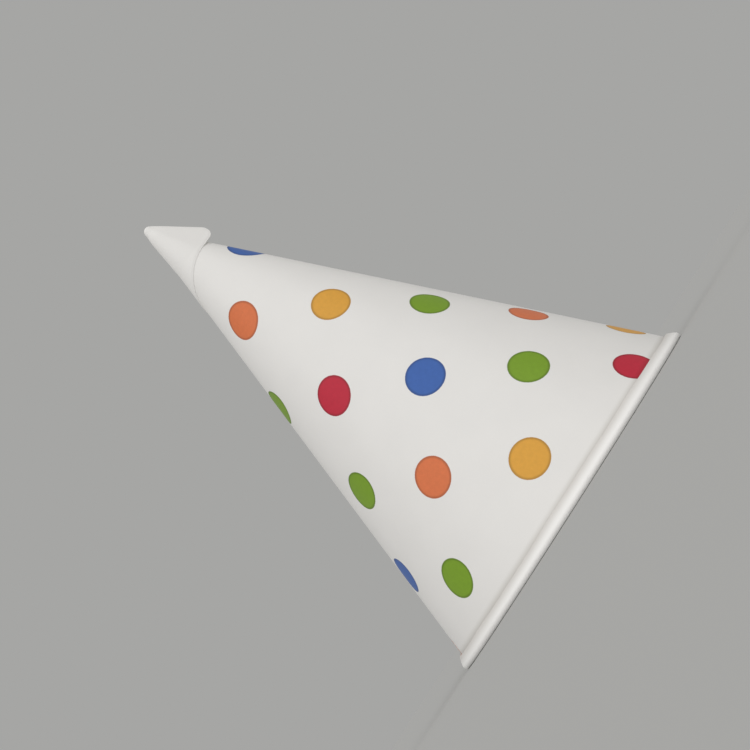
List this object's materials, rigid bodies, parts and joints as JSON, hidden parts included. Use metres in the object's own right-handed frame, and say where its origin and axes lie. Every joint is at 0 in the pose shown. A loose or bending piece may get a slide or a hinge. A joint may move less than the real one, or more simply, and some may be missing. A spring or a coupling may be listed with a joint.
{
  "type": "cone paper cup",
  "caption": "Conical paper cup with a rolled rim and a lapped seam, printed with polka dots; holds a drink or a snack, and stands on its rim with the tip up.",
  "frame": {"origin": "middle of the mouth, on the surface that the rolled rim stands on", "axes": "+Z from the mouth to the tip along the cone's axis; -Y towards the front, where the lapped seam is out of sight except beside the tip"},
  "size_m": [0.0824, 0.0824, 0.11],
  "materials": {
    "cup_paper": "satin coated white paper, printed outside with coloured dots"
  },
  "bodies": {
    "root": {"paper_cup": "cup_paper"}
  },
  "joints": []
}
